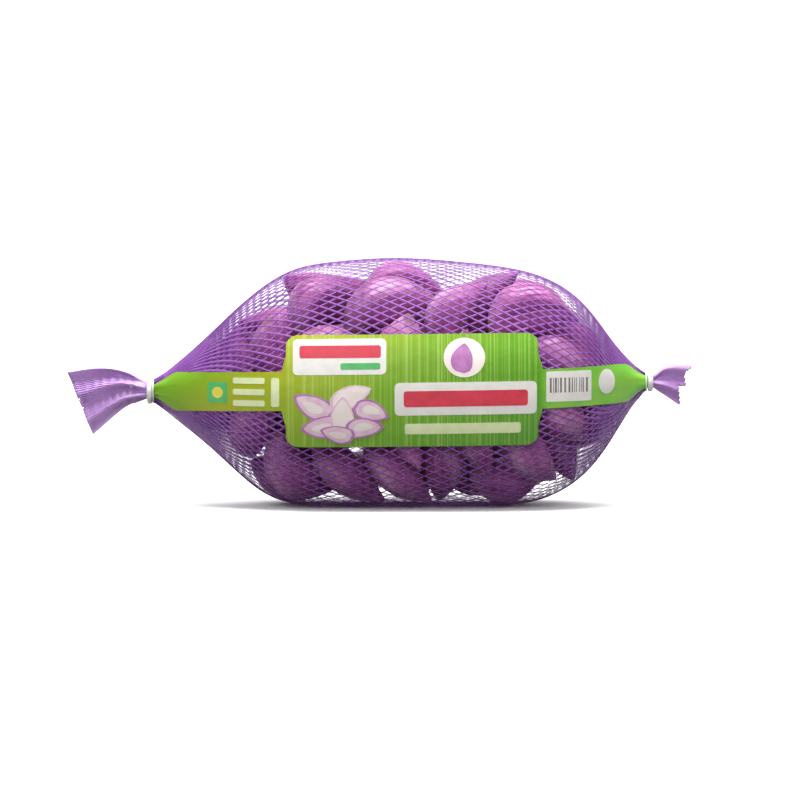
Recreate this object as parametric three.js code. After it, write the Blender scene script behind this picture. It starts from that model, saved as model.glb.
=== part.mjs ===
// A net pack of loose garlic cloves: a tubular plastic net gathered and closed by a clip at each end,
// a printed band across its front that both clips hold, and the cloves that fill it.
// Millimetres, +Z up, X along the pack, -Y towards the front. The pack lies on its flattened underside.

import * as THREE from "three";
import { mergeVertices } from "three/addons/utils/BufferGeometryUtils.js";

// ---------------------------------------------------------------- driving dimensions

const NET_WALL = 0.6; // thickness of the knitted skin where it is spread
const NECK_BORE = 0.7; // half width of the passage left in the middle of the bunched net
const GAP = 0.35; // between neighbouring pieces
const FACET_SAG = 0.5; // how far a flat facet of the sleeve can cut inside the true curve
const SECTION_POWER = 2.15; // 2 is an ellipse, more is squarer
const DEPTH_SHARE = 0.8; // front to back size of the belly over its height

const TAIL_END = 107.6; // half the pack's length
const FILL_LEFT = -67.5; // the cloves lie between these two places along X
const FILL_RIGHT = 82.5;

const CLIP_WIDTH = 1.8;
const CLIP_THICKNESS = 0.95;
const CLIP_CLEARANCE = 0.25; // beyond the usual gap, for the net's widening on both sides of the clip
const LEFT_CLIP_X = -79.1;
const RIGHT_CLIP_X = 93.1;

const LABEL_THICKNESS = 0.35;
const LABEL_GAP = 0.4;
const PANEL = { left: -31.5, right: 53.7, height: 37.8, corner: 4.2 };
const STRAP_HEIGHT = 13.2;
const LABEL_TILT = 0.01; // rise of the band's centreline for each mm of X
const LABEL_Z = 41.3; // height of the panel's middle
const LABEL_STEPS_UP = 6;

const SLEEVE_SIDES = 24;
const CLOVE_SIDES = 10;
const CLOVE_RINGS = 7;

// ---------------------------------------------------------------- the sleeve's outer form

// Side outline from the left tail to the right tail: x, underside z, top z, half depth as a share of half
// height. The underside dips below zero where the pack stands, and is cut flat there.
const OUTLINE = [
  [-TAIL_END, 24.2, 46.0, 0.14],
  [-98.0, 29.4, 47.4, 0.2],
  [-90.5, 33.2, 47.0, 0.32],
  [-84.5, 35.3, 45.0, 0.52],
  [LEFT_CLIP_X - 1.2, 36.4, 42.8, 0.8],
  [LEFT_CLIP_X + 1.2, 36.4, 42.8, 0.8],
  [-73.0, 31.5, 46.1, 0.84],
  [-62.0, 23.8, 55.2, DEPTH_SHARE],
  [-51.0, 13.0, 66.8, DEPTH_SHARE],
  [-40.0, 2.0, 76.8, DEPTH_SHARE],
  [-29.0, -2.8, 83.2, DEPTH_SHARE],
  [-10.0, -3.8, 85.2, DEPTH_SHARE],
  [6.5, -4.0, 86.2, DEPTH_SHARE],
  [28.0, -3.4, 84.4, DEPTH_SHARE],
  [45.0, -2.6, 82.8, DEPTH_SHARE],
  [58.0, 0.8, 80.0, DEPTH_SHARE],
  [69.0, 7.3, 73.2, DEPTH_SHARE],
  [77.4, 17.1, 60.8, DEPTH_SHARE],
  [83.0, 28.6, 51.6, 0.84],
  [88.2, 36.5, 48.2, 0.82],
  [RIGHT_CLIP_X - 1.2, 40.6, 44.8, 0.8],
  [RIGHT_CLIP_X + 1.2, 40.6, 44.8, 0.8],
  [97.5, 39.0, 47.6, 0.46],
  [102.0, 37.1, 48.8, 0.26],
  [TAIL_END, 34.4, 48.2, 0.2],
].map(([x, under, top, share]) => [
  new THREE.Vector3(x, under, top),
  share,
]);

const OUTLINE_CURVE = new THREE.CatmullRomCurve3(
  OUTLINE.map(([point]) => point),
  false,
  "centripetal",
);

// The outline sampled finely, so that a section can be looked up from its x.
const SAMPLES = Array.from({ length: 801 }, (_, i) => {
  const at = i / 800;
  const p = OUTLINE_CURVE.getPoint(at);
  const leg = Math.min(Math.floor(at * (OUTLINE.length - 1)), OUTLINE.length - 2);
  const share = THREE.MathUtils.lerp(
    OUTLINE[leg][1],
    OUTLINE[leg + 1][1],
    at * (OUTLINE.length - 1) - leg,
  );
  const halfHeight = (p.z - p.y) / 2;
  return { x: p.x, middle: (p.z + p.y) / 2, halfHeight, halfDepth: halfHeight * share };
});

function section(x) {
  let low = 0;
  let high = SAMPLES.length - 1;
  while (high - low > 1) {
    const half = (low + high) >> 1;
    if (SAMPLES[half].x <= x) low = half;
    else high = half;
  }
  const a = SAMPLES[low];
  const b = SAMPLES[high];
  const t = THREE.MathUtils.clamp((x - a.x) / (b.x - a.x), 0, 1);
  return {
    middle: THREE.MathUtils.lerp(a.middle, b.middle, t),
    halfHeight: THREE.MathUtils.lerp(a.halfHeight, b.halfHeight, t),
    halfDepth: THREE.MathUtils.lerp(a.halfDepth, b.halfDepth, t),
  };
}

// The cosine or sine of an ellipse's angle, made that of the sections' squarer curve.
const bend = (value) => Math.sign(value) * Math.abs(value) ** (2 / SECTION_POWER);

// A point of the section at x, at an angle from the back (0) over the top (90 degrees), moved in by inset.
function sectionPoint(x, angle, inset = 0) {
  const s = section(x);
  const across = bend(Math.cos(angle));
  const up = bend(Math.sin(angle));
  const depth = Math.max(s.halfDepth - inset, NECK_BORE * 0.6);
  const height = Math.max(s.halfHeight - inset, NECK_BORE);
  return new THREE.Vector3(x, depth * across, Math.max(s.middle + height * up, inset));
}

// How far in front of the XZ plane the sleeve's front, or a skin standing off from it, is at a place in the
// front view.
function frontDepth(x, z, standOff = 0) {
  const s = section(x);
  const up = Math.min(Math.abs(z - s.middle) / (s.halfHeight + standOff), 0.98);
  return (s.halfDepth + standOff) * (1 - up ** SECTION_POWER) ** (1 / SECTION_POWER);
}

// ---------------------------------------------------------------- lofted solids

// A closed solid from rings of points that all have the same count. A ring of rings (a tube with a wall)
// closes on itself, and otherwise both ends are closed by a fan.
function loft(rings, closesOnItself = false) {
  const sides = rings[0].length;
  const points = rings.flat();
  const index = [];
  const at = (ring, side) => (ring % rings.length) * sides + (side % sides);
  const spans = closesOnItself ? rings.length : rings.length - 1;
  for (let ring = 0; ring < spans; ring += 1) {
    for (let side = 0; side < sides; side += 1) {
      const corners = [at(ring, side), at(ring, side + 1), at(ring + 1, side), at(ring + 1, side + 1)];
      index.push(corners[0], corners[1], corners[2], corners[1], corners[3], corners[2]);
    }
  }
  if (!closesOnItself) {
    const last = rings.length - 1;
    for (let side = 1; side < sides - 1; side += 1) {
      index.push(at(0, 0), at(0, side + 1), at(0, side));
      index.push(at(last, 0), at(last, side), at(last, side + 1));
    }
  }
  const geometry = new THREE.BufferGeometry().setFromPoints(points);
  geometry.setIndex(index);
  return geometry;
}

function facingOut(geometry) {
  const p = geometry.getAttribute("position");
  const index = geometry.index.array;
  const [a, b, c] = [new THREE.Vector3(), new THREE.Vector3(), new THREE.Vector3()];
  let volume = 0;
  for (let i = 0; i < index.length; i += 3) {
    a.fromBufferAttribute(p, index[i]);
    b.fromBufferAttribute(p, index[i + 1]);
    c.fromBufferAttribute(p, index[i + 2]);
    volume += a.dot(b.cross(c)) / 6;
  }
  if (volume < 0) geometry.setIndex([...index].reverse());
  return geometry;
}

// ---------------------------------------------------------------- net sleeve

// Places along the sleeve, closer together where it turns.
const SLEEVE_STATIONS = [
  ...[-TAIL_END, -103, -98, -93.5, -89.5, -86, -82.5],
  ...[LEFT_CLIP_X - 1.2, LEFT_CLIP_X, LEFT_CLIP_X + 1.2, -75, -71, -66.5, -62, -57, -52],
  ...[-47.5, -43.5, -40, -36.5, -33, -29, -22, -11, 0, 12, 24, 35, 44, 51],
  ...[57, 62, 66.5, 70.5, 74, 77, 79.8, 82.6, 85.4, 88.4],
  ...[RIGHT_CLIP_X - 1.2, RIGHT_CLIP_X, RIGHT_CLIP_X + 1.2, 97.2, 100, 103.5, TAIL_END],
];

// The cut end of each tail slants: its lower corner stops short of its upper one.
function slantedX(x, z) {
  const s = section(x);
  const below = (s.middle + s.halfHeight - z) / (2 * s.halfHeight);
  const leftShare = THREE.MathUtils.clamp((LEFT_CLIP_X - 7 - x) / 21, 0, 1);
  const rightShare = THREE.MathUtils.clamp((x - RIGHT_CLIP_X - 2) / 12, 0, 1);
  return x + below * (8.6 * leftShare - 4.2 * rightShare);
}

// The bunched net fills the neck, so its wall grows there and thins out again along the tail.
function wallAt(x) {
  const fromClip = Math.min(Math.abs(x - LEFT_CLIP_X), Math.abs(x - RIGHT_CLIP_X));
  const inTail = x < LEFT_CLIP_X || x > RIGHT_CLIP_X;
  const reach = inTail ? 14 : 9;
  return NET_WALL + 3.4 * Math.max(0, 1 - fromClip / reach);
}

function netSleeve() {
  const ring = (x, inset) =>
    Array.from({ length: SLEEVE_SIDES }, (_, side) => {
      const p = sectionPoint(x, (side / SLEEVE_SIDES) * 2 * Math.PI, inset);
      return p.setX(slantedX(x, p.z));
    });
  const outside = SLEEVE_STATIONS.map((x) => ring(x, 0));
  const inside = SLEEVE_STATIONS.map((x) => ring(x, wallAt(x))).reverse();
  return facingOut(loft([...outside, ...inside], true));
}

// ---------------------------------------------------------------- label band

const labelMiddle = (x) => LABEL_Z + (x - (PANEL.left + PANEL.right) / 2) * LABEL_TILT;

// The middle of the band drops or rises to the clip over its last stretch.
function bandMiddle(x) {
  const toLeft = THREE.MathUtils.smoothstep(PANEL.left - x, 0, PANEL.left - LEFT_CLIP_X);
  const toRight = THREE.MathUtils.smoothstep(x - PANEL.right, 0, RIGHT_CLIP_X - PANEL.right);
  const line = labelMiddle(x);
  const end = section(x < 0 ? LEFT_CLIP_X : RIGHT_CLIP_X).middle;
  return THREE.MathUtils.lerp(line, end, Math.max(toLeft, toRight));
}

// Half the band's height: the strap narrows into the clips, and the panel has round corners.
function bandHalfHeight(x) {
  const toClip = Math.min(x - LEFT_CLIP_X, RIGHT_CLIP_X - x);
  const strap = (STRAP_HEIGHT / 2) * (0.28 + 0.72 * THREE.MathUtils.smoothstep(toClip, 1.5, 9));
  const inPanel = Math.min(x - PANEL.left, PANEL.right - x);
  if (inPanel < 0) return strap;
  const fromArc = Math.max(PANEL.corner - inPanel, 0);
  return PANEL.height / 2 - PANEL.corner + Math.sqrt(PANEL.corner ** 2 - fromArc ** 2);
}

function bandStations() {
  const ends = { left: LEFT_CLIP_X - 0.8, right: RIGHT_CLIP_X + 0.8 };
  const edge = 0.02; // the panel's side edges are all but square to the strap
  const corner = [0.03, 0.12, 0.3, 0.6, 1].map((share) => share * PANEL.corner);
  const spread = (from, to, count) =>
    Array.from({ length: count }, (_, i) => from + ((to - from) * i) / (count - 1));
  return [
    ends.left,
    ...spread(LEFT_CLIP_X + 1.2, PANEL.left - edge, 13),
    ...corner.map((d) => PANEL.left + d),
    ...spread(PANEL.left + 9, PANEL.right - 9, 9),
    ...corner.map((d) => PANEL.right - d).reverse(),
    ...spread(PANEL.right + edge, RIGHT_CLIP_X - 1.2, 12),
    ends.right,
  ];
}

function labelBand() {
  const face = (x, standOff) =>
    Array.from({ length: LABEL_STEPS_UP + 1 }, (_, i) => {
      const up = (2 * i) / LABEL_STEPS_UP - 1;
      const z = bandMiddle(x) + up * bandHalfHeight(x);
      return new THREE.Vector3(x, -frontDepth(x, z, standOff), z);
    });
  const rings = bandStations().map((x) => [
    ...face(x, LABEL_GAP + LABEL_THICKNESS),
    ...face(x, LABEL_GAP).reverse(),
  ]);
  return facingOut(loft(rings));
}

// ---------------------------------------------------------------- closing clips

// A flat ring round the bunched net and the end of the band, with rounded edges.
function clip(x) {
  const s = section(x);
  const profile = [
    [-0.5, 0],
    [-0.5, 0.75],
    [-0.3, 1],
    [0.3, 1],
    [0.5, 0.75],
    [0.5, 0],
  ];
  const sides = 28;
  const forward = (GAP + LABEL_THICKNESS) / 2;
  const depth = s.halfDepth + GAP + CLIP_CLEARANCE + forward;
  const height = s.halfHeight + GAP + CLIP_CLEARANCE;
  const rings = Array.from({ length: sides }, (_, i) => {
    const angle = (i / sides) * 2 * Math.PI;
    return profile.map(([along, out]) => {
      const grow = out * CLIP_THICKNESS;
      return new THREE.Vector3(
        x + along * CLIP_WIDTH,
        (depth + grow) * Math.cos(angle) - forward,
        s.middle + (height + grow) * Math.sin(angle),
      );
    });
  });
  return facingOut(loft(rings, true));
}

// ---------------------------------------------------------------- garlic cloves

// How full a clove is along its length, from its blunt base (0) to its pointed tip (1).
const WIDEST = 0.42;
function fullness(t) {
  if (t < WIDEST) return Math.sqrt(1 - (1 - t / WIDEST) ** 2.2);
  return Math.cos(((t - WIDEST) / (1 - WIDEST)) * (Math.PI / 2)) ** 0.85;
}

const BACK_SHARE = 0.52; // of the depth lies behind the section's own centre
const BOW_SHARE = 0.4; // of the depth is the bow of the centreline
const VENTRAL_PINCH = 0.5; // how much the inner side narrows to an edge

// A clove about its own middle: its length along X with the tip at +X, its round back towards +Z, and its
// inner side narrowed by the neighbours it grew against.
function cloveGeometry({ length, width, depth }) {
  const geometry = new THREE.SphereGeometry(1, CLOVE_SIDES, CLOVE_RINGS);
  geometry.deleteAttribute("normal");
  geometry.deleteAttribute("uv");
  const merged = mergeVertices(geometry, 1e-4);
  const position = merged.getAttribute("position");
  const p = new THREE.Vector3();
  for (let i = 0; i < position.count; i += 1) {
    p.fromBufferAttribute(position, i);
    const t = (1 - p.y) / 2;
    const full = fullness(t);
    const around = Math.atan2(p.z, p.x);
    const [side, back] = [Math.cos(around), Math.sin(around)];
    const pinch = back < 0 ? 1 - VENTRAL_PINCH * Math.abs(back) ** 1.5 : 1;
    const radial = back > 0 ? BACK_SHARE : 1 - BACK_SHARE;
    const isEnd = t < 1e-6 || t > 1 - 1e-6;
    position.setXYZ(
      i,
      (t - 0.5) * length,
      isEnd ? 0 : (width / 2) * full * side * pinch,
      isEnd ? -BOW_SHARE * depth : depth * (full * (radial * back + BOW_SHARE) - BOW_SHARE),
    );
  }
  return facingOut(merged);
}

// Balls that stand for a clove while the pack is filled: a row under its round back, and a row of smaller
// ones along its narrow inner side.
function cloveBalls({ length, width, depth }) {
  const backRadius = Math.min(width, depth) / 2;
  const innerRadius = backRadius * 0.84;
  const ball = (t, fromCentre, radius) => ({
    offset: new THREE.Vector3(
      (t - 0.5) * length,
      0,
      fullness(t) * fromCentre + BOW_SHARE * depth * (fullness(t) - 1),
    ),
    radius: radius * fullness(t),
  });
  const end = (side) => ({
    offset: new THREE.Vector3((side * length) / 2, 0, -BOW_SHARE * depth),
    radius: 0.6,
  });
  return [
    ...[0.2, 0.3, 0.4, 0.5, 0.6, 0.7, 0.8, 0.9].map((t) =>
      ball(t, BACK_SHARE * depth - backRadius, backRadius),
    ),
    ...[0.1, 0.22, 0.34, 0.46, 0.58, 0.7, 0.82, 0.92].map((t) =>
      ball(t, innerRadius - (1 - BACK_SHARE) * depth, innerRadius),
    ),
    ball(0.96, 0, backRadius),
    end(-1),
    end(1),
  ];
}

// The cloves that lie against the front of the net, as seen from the front: x and z of the middle, the way
// the tip points (degrees from +X towards +Z), the turn of the round back (0 faces out through the net, 90
// is to the left of the tip's direction), length, width, depth, and how far it is set back from the net.
const FRONT_CLOVES = [
  [-25.8, 72.3, 48, 75, 31, 16, 16, 2],
  [-8.3, 70.4, -3, 78, 35.5, 16, 16, 0],
  [2.2, 78.2, -25, 80, 30, 15, 15, 9],
  [27.2, 69.5, 55, 80, 29, 15, 15, 0],
  [40.0, 72.5, 55, 80, 28, 14, 15, 8],
  [51.2, 69.3, -8, 80, 32, 16, 17, 0],
  [71.6, 56.5, -75, 70, 29, 14, 16, 0],
  [60.3, 54.0, -60, 30, 29, 14, 17, 0],
  [-38.0, 60.5, 160, -80, 30, 15, 15, 6],
  [-38.6, 53.5, -48, -50, 31, 14, 17, 0],
  [-51.5, 53.5, 105, 60, 28, 14, 16, 4],
  [-58.5, 38.0, 95, 50, 31, 15, 17, 0],
  [-46.6, 22.5, -75, -50, 33, 14, 17, 0],
  [-31.0, 13.5, -47, -40, 34, 15, 18, 0],
  [-15.5, 14.0, -57, -25, 35.5, 13, 18, 0],
  [-1.8, 14.5, -60, -20, 35.5, 13, 18, 0],
  [8.6, 25.0, -68, -30, 30, 13, 17, 3],
  [24.6, 14.5, -48, 20, 35.5, 14, 18, 0],
  [34.8, 23.5, -70, -30, 32, 13.5, 17, 1],
  [49.0, 10.5, 5, -70, 31, 15, 16, 6],
  [55.8, 16.8, -48, -50, 30, 15, 16, 0],
  [64.5, 19.5, -55, 60, 28, 14, 16, 7],
  [74.2, 29.5, -110, 65, 30, 15, 17, 0],
  [59.5, 33.0, -60, -60, 28, 14, 16, 4],
  [16.4, 51.0, -80, 10, 29, 16, 17, 0],
  [-17.5, 51.0, -30, 60, 32, 15, 16, 0],
  [-29.0, 38.0, -60, 40, 31, 15, 17, 0],
  [-6.0, 38.0, 70, 40, 33, 15, 17, 0],
  [24.0, 38.0, 30, -60, 31, 15, 16, 3],
  [40.0, 46.0, -35, 60, 32, 15, 17, 0],
];
const CLOVE_COUNT = 56;

// Seeded numbers from 0 to 1, the same on every run.
function seeded(seed) {
  let state = seed;
  return () => {
    state = (state + 0x6d2b79f5) | 0;
    let t = Math.imul(state ^ (state >>> 15), 1 | state);
    t = (t + Math.imul(t ^ (t >>> 7), 61 | t)) ^ t;
    return ((t ^ (t >>> 14)) >>> 0) / 4294967296;
  };
}

// The turn that points a clove's tip along one direction and its back as nearly as can be along another.
function facing(tip, back) {
  const x = tip.clone().normalize();
  const y = new THREE.Vector3().crossVectors(back, x).normalize();
  const z = new THREE.Vector3().crossVectors(x, y);
  return new THREE.Quaternion().setFromRotationMatrix(new THREE.Matrix4().makeBasis(x, y, z));
}

const FRONT_FULLNESS = 1.08;
function frontClove([x, z, tip, back, length, listedWidth, listedDepth, behind]) {
  const width = listedWidth * FRONT_FULLNESS;
  const depth = listedDepth * FRONT_FULLNESS;
  const turn = THREE.MathUtils.degToRad(tip);
  const roll = THREE.MathUtils.degToRad(back);
  const along = new THREE.Vector3(Math.cos(turn), 0, Math.sin(turn));
  const left = new THREE.Vector3(-Math.sin(turn), 0, Math.cos(turn));
  const outwards = new THREE.Vector3(0, -Math.cos(roll), 0).addScaledVector(left, Math.sin(roll));
  const inset = width / 2 + 2 + behind;
  return {
    length,
    width,
    depth,
    held: true,
    place: new THREE.Vector3(x, inset - frontDepth(x, z), z),
    home: new THREE.Vector3(x, inset - frontDepth(x, z), z),
    turn: facing(along, outwards),
    homeTurn: facing(along, outwards),
  };
}

// A clove somewhere in the rest of the pack: of several places tried, the one furthest from the others.
function innerClove(others, random) {
  const length = 32 + 6 * random();
  const tries = Array.from({ length: 60 }, () => {
    const x = THREE.MathUtils.lerp(-62, 78, random());
    const s = section(x);
    const angle = 2 * Math.PI * random();
    const share = Math.sqrt(random()) * (1 - 11 / Math.max(s.halfHeight, 12));
    const y = s.halfDepth * share * Math.cos(angle);
    const z = s.middle + s.halfHeight * share * Math.sin(angle);
    return new THREE.Vector3(x, y, z);
  });
  const room = (p) => Math.min(...others.map((o) => o.place.distanceTo(p)));
  const place = tries.reduce((best, p) => (room(p) > room(best) ? p : best));
  const s = section(place.x);
  const out = new THREE.Vector3(0, place.y, place.z - s.middle).normalize();
  const wander = new THREE.Vector3(random() - 0.5, random() - 0.5, random() - 0.5);
  const way = new THREE.Vector3(random() < 0.5 ? -0.5 : 0.5, 0, 0);
  const along = way.add(wander.multiplyScalar(2));
  return {
    length,
    width: length * (0.53 + 0.06 * random()),
    depth: length * (0.56 + 0.06 * random()),
    held: false,
    place,
    turn: facing(along, out),
  };
}

// The skin round the filled length as planes that touch it: a point and the direction that leads inwards.
// That length is convex, so the nearest plane gives the distance from a place inside to the skin.
function skinPlanes() {
  const planes = [];
  const step = 0.05;
  const stations = 34;
  const sides = 30;
  for (let i = 0; i < stations; i += 1) {
    const x = THREE.MathUtils.lerp(FILL_LEFT, FILL_RIGHT, i / (stations - 1));
    for (let side = 0; side < sides; side += 1) {
      const angle = ((side + 0.5) / sides) * 2 * Math.PI;
      const s = section(x);
      const curve = (where, turn) => {
        const at = section(where);
        const y = at.halfDepth * bend(Math.cos(turn));
        const z = at.middle + at.halfHeight * bend(Math.sin(turn));
        return new THREE.Vector3(where, y, z);
      };
      const along = curve(x + step, angle).sub(curve(x - step, angle));
      const round = curve(x, angle + step).sub(curve(x, angle - step));
      const inwards = along.cross(round).normalize();
      const point = curve(x, angle);
      if (inwards.dot(new THREE.Vector3(x, 0, s.middle).sub(point)) < 0) inwards.negate();
      planes.push({ x, inwards, reach: inwards.dot(point) });
    }
  }
  return planes;
}

// Fills the pack: every clove is pushed and turned out of its neighbours and out of the skin. While hold
// is 1 the front cloves are drawn back to where they were laid, and the others sink, ever less up to the
// last stretch. Returns how deep each clove still touches something.
const LAID_SHARE = 0.15; // share of an overlap that a front clove gives way by, against an inner one
const NEARBY = 16; // how far along X the skin can matter to a clove
const SINK = 0.03; // how far an inner clove sinks in a round
const UP = new THREE.Vector3(0, 0, 1);
const ALONG = new THREE.Vector3(1, 0, 0);
const STIFFNESS = 1.3; // share of the mean overlap that one round takes away
function settle(cloves, rounds, planes, hold) {
  const wall = NET_WALL + GAP + FACET_SAG;
  const bodies = cloves.map((clove) => ({
    clove,
    balls: cloveBalls(clove),
    centres: cloveBalls(clove).map(() => new THREE.Vector3()),
    push: new THREE.Vector3(),
    twist: new THREE.Vector3(),
    touches: 0,
    deepest: 0,
  }));
  const arm = new THREE.Vector3();
  const force = new THREE.Vector3();
  const away = new THREE.Vector3();
  const spin = new THREE.Quaternion();
  const press = (body, at, direction, amount, share = 1) => {
    force.copy(direction).multiplyScalar(amount * share);
    body.push.add(force);
    body.twist.add(arm.copy(at).sub(body.clove.place).cross(force));
    body.touches += 1;
    body.deepest = Math.max(body.deepest, Math.abs(amount));
  };
  for (let round = 0; round < rounds; round += 1) {
    for (const body of bodies) {
      body.push.set(0, 0, 0);
      body.twist.set(0, 0, 0);
      body.touches = 0;
      body.deepest = 0;
      body.balls.forEach((ball, i) =>
        body.centres[i].copy(ball.offset).applyQuaternion(body.clove.turn).add(body.clove.place),
      );
    }
    bodies.forEach((a, i) =>
      bodies.slice(i + 1).forEach((b) => {
        const farthest = (a.clove.length + b.clove.length) / 2 + 2;
        if (a.clove.place.distanceTo(b.clove.place) > farthest) return;
        a.centres.forEach((p, m) =>
          b.centres.forEach((q, n) => {
            const reach = a.balls[m].radius + b.balls[n].radius + GAP;
            const apart = p.distanceTo(q);
            if (apart >= reach) return;
            away.copy(p).sub(q).divideScalar(Math.max(apart, 1e-6));
            let share = 0.5;
            if (a.clove.held !== b.clove.held) share = a.clove.held ? LAID_SHARE : 1 - LAID_SHARE;
            press(a, p, away, reach - apart, share);
            press(b, q, away.negate(), reach - apart, 1 - share);
          }),
        );
      }),
    );
    const left = Math.max(0, 1 - round / (0.6 * rounds)) * hold;
    for (const body of bodies) {
      body.centres.forEach((p, i) => {
        const { radius } = body.balls[i];
        let nearest = Infinity;
        let skin = null;
        for (const plane of planes) {
          const distance = plane.inwards.dot(p) - plane.reach;
          if (distance < nearest && Math.abs(plane.x - p.x) < NEARBY) {
            nearest = distance;
            skin = plane;
          }
        }
        if (nearest < radius + wall) press(body, p, skin.inwards, radius + wall - nearest);
        const low = radius + NET_WALL + GAP - p.z;
        if (low > 0) press(body, p, UP, low);
        const short = FILL_LEFT + radius - p.x;
        if (short > 0) press(body, p, ALONG, short);
        const over = FILL_RIGHT - radius - p.x;
        if (over < 0) press(body, p, ALONG, over);
      });
      const { clove } = body;
      const ease = STIFFNESS / Math.max(body.touches, 1);
      clove.place.addScaledVector(body.push, ease);
      const turned = body.twist.multiplyScalar(ease / (clove.length / 3.5) ** 2);
      const angle = Math.min(turned.length(), 0.1);
      if (angle > 1e-9) {
        clove.turn.premultiply(spin.setFromAxisAngle(turned.normalize(), angle)).normalize();
      }
      if (clove.held) {
        clove.place.lerp(clove.home, 0.1 * left);
        clove.turn.slerp(clove.homeTurn, 0.1 * left);
      } else {
        clove.place.z -= SINK * left;
      }
    }
  }
  return bodies.map((body) => body.deepest);
}

// A clove that has no room after a stretch of settling is made a little smaller.
const TIGHT = 0.45;
const SMALLER = 0.98;
function packedCloves() {
  const random = seeded(14);
  const cloves = FRONT_CLOVES.map(frontClove);
  while (cloves.length < CLOVE_COUNT) cloves.push(innerClove(cloves, random));
  const planes = skinPlanes();
  settle(cloves, 3000, planes, 1);
  for (let pass = 0; pass < 9; pass += 1) {
    const deepest = settle(cloves, 350, planes, 0);
    cloves.forEach((clove, i) => {
      if (deepest[i] < TIGHT) return;
      clove.length *= SMALLER;
      clove.width *= SMALLER;
      clove.depth *= SMALLER;
    });
  }
  settle(cloves, 400, planes, 0);
  return cloves;
}

// ---------------------------------------------------------------- materials and assembly

const NET_PLASTIC = { color: 0x8a4fc0, roughness: 0.45, metalness: 0 };
const PRINTED_FILM = { color: 0x7fc63c, roughness: 0.35, metalness: 0 };
const WHITE_PLASTIC = { color: 0xe9e9e4, roughness: 0.4, metalness: 0 };
const CLOVE_SKIN = { color: 0xb06ab0, roughness: 0.55, metalness: 0 };

function piece(name, geometry, look) {
  const mesh = new THREE.Mesh(geometry, new THREE.MeshStandardMaterial(look));
  mesh.name = name;
  return mesh;
}

const pack = new THREE.Group();
pack.add(piece("net_sleeve", netSleeve(), NET_PLASTIC));
pack.add(piece("label_band", labelBand(), PRINTED_FILM));
pack.add(piece("clip_left", clip(LEFT_CLIP_X), WHITE_PLASTIC));
pack.add(piece("clip_right", clip(RIGHT_CLIP_X), WHITE_PLASTIC));

packedCloves().forEach((clove, i) => {
  const mesh = piece(`clove_${String(i + 1).padStart(2, "0")}`, cloveGeometry(clove), CLOVE_SKIN);
  mesh.position.copy(clove.place);
  mesh.quaternion.copy(clove.turn);
  pack.add(mesh);
});

// The origin is the middle of the pack's box, on the surface it lies on.
const box = new THREE.Box3().setFromObject(pack, true);
const centre = box.getCenter(new THREE.Vector3());
pack.position.set(-centre.x, -centre.y, -box.min.z);

export default pack;
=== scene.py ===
"""A net bag of garlic cloves on a pale floor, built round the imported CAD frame. Metres, +Z up."""

import math

import bpy
import numpy as np
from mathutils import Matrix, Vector
from mathutils.bvhtree import BVHTree


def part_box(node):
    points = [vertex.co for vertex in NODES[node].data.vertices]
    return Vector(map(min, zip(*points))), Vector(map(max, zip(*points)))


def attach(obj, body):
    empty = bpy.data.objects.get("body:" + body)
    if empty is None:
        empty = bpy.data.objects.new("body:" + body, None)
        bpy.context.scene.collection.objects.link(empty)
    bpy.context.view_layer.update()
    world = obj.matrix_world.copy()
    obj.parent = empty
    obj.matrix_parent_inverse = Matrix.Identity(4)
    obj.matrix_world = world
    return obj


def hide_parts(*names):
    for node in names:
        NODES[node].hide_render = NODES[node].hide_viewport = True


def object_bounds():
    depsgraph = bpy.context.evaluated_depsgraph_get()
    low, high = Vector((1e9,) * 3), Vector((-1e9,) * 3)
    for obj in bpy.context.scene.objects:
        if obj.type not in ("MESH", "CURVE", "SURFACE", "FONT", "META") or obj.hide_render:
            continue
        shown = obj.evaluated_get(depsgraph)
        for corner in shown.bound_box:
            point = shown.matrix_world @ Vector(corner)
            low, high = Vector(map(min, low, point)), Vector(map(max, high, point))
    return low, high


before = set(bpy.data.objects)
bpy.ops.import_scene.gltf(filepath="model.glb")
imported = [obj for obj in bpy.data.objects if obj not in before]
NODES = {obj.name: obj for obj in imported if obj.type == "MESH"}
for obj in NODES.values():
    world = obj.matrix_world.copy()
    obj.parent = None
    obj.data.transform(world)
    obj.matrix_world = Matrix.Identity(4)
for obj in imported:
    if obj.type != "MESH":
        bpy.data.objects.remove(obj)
CAD_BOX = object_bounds()
MM = 0.001

# ---------------------------------------------------------------- driving dimensions

STARTS = 86  # strands of each lean round the net
CELL_LONG = 5.9 * MM
CELL_HIGH = 2.95 * MM
STRAND_WIDTH = 0.68 * MM
STRAND_THICKNESS = 0.24 * MM
FLATTER = 1.2  # how much wider a strand lies where the net isn't stretched
STRAND_STAND_OFF = 0.22 * MM  # from a clove's skin to the middle of a strand
SLACK_REACH = (0.5 * MM, 5 * MM)  # a strand's distance from the cloves, pressed to free
SLACK_WIDTH = (0.62, 1.15)  # its width there, as a share of the plain width
TAIL_STRAND_WIDTH = 0.46 * MM
TAIL_STRAND_THICKNESS = TAIL_STRAND_WIDTH * 0.4
CROSSING_LIFT = 0.06 * MM  # the strands of one lean lie this far out, and the others this far in
TAIL_MARGIN = 0.2 * MM  # from the net's cut ends to the CAD box
PLEATS = {"left": 2.4, "right": 1.7}  # waves across each tail
TAIL_SHORTER = {"left": 8.6 * MM, "right": 4.2 * MM}  # how much sooner a tail's lower edge ends
RELAX_ROUNDS = 40
EASE_ROUNDS = 4
DRAWN_IN = 0.4  # share of the way from the CAD skin to a net pulled tight

BAND_HEIGHT = 39 * MM

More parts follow.
